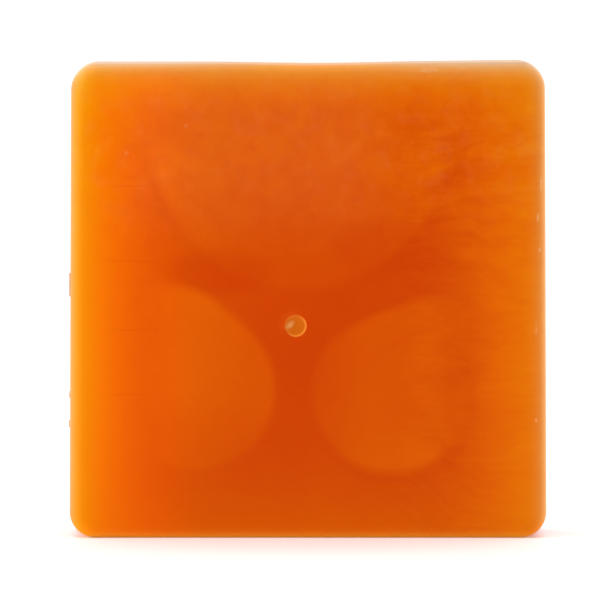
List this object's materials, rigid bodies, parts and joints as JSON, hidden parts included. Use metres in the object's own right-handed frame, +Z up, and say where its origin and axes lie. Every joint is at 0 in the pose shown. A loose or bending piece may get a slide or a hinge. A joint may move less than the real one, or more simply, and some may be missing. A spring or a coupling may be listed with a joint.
{
  "type": "pheromone insect trap",
  "caption": "Square hanging case trap: hinged translucent cover over lobed glue-card bays, rear entry cones, plug-in lure, slide latch and folding wire bail.",
  "frame": {"origin": "under the middle of the closed trap, on the surface that it stands on", "axes": "+Z up, -Y out of the front cover, +X to the right seen from the front, where the hinge is"},
  "size_m": [0.1005, 0.032, 0.1001],
  "materials": {
    "cover_orange": "glossy translucent orange moulding",
    "case_orange": "satin orange moulding",
    "insert_orange": "matt orange moulding",
    "card": "card coated with clear glue",
    "cone_plastic": "matt cream moulding",
    "cap_plastic": "fine matt black moulding",
    "latch_plastic": "satin orange moulding",
    "bush_plastic": "matt black moulding",
    "septum_rubber": "dull red-brown rubber",
    "seal_rubber": "dull black rubber",
    "wire_steel": "drawn galvanised wire",
    "small_steel": "bright zinc plate"
  },
  "bodies": {
    "case": {"back_case": "case_orange", "bay_divider": "insert_orange", "bay_frame_top": "insert_orange", "bay_frame_left": "insert_orange", "bay_frame_right": "insert_orange", "glue_card_top": "card", "glue_card_left": "card", "glue_card_right": "card", "entry_cone_top": "cone_plastic", "entry_cone_left": "cone_plastic", "entry_cone_right": "cone_plastic", "hinge_pin": "wire_steel", "hinge_pin_plug": "bush_plastic", "latch_spring": "small_steel", "bail_bushes": "bush_plastic", "divider_screws": "small_steel"},
    "cover": {"front_cover": "cover_orange", "latch_hook": "latch_plastic"},
    "latch": {"side_latch": "latch_plastic"},
    "bail": {"hanger_bail": "wire_steel"},
    "lure_plug": {"lure_cap": "cap_plastic", "cap_o_ring": "seal_rubber", "lure_cage": "cap_plastic", "lure_septum": "septum_rubber"}
  },
  "joints": [
    {"name": "cover_hinge", "type": "hinge", "parent": "case", "child": "cover", "pos_m": [0.0472, 0.004, 0.05], "axis": [0, 0, 1], "range_deg": [0, 90]},
    {"name": "latch_slide", "type": "slide", "parent": "case", "child": "latch", "axis": [0, 0, 1], "range_m": [0, 0.004]},
    {"name": "bail_swing", "type": "hinge", "parent": "case", "child": "bail", "pos_m": [0, 0.0134, 0.09], "axis": [1, 0, 0], "range_deg": [0, 180]},
    {"name": "lure_pull", "type": "slide", "parent": "case", "child": "lure_plug", "axis": [0, 1, 0], "range_m": [0, 0.026]}
  ]
}
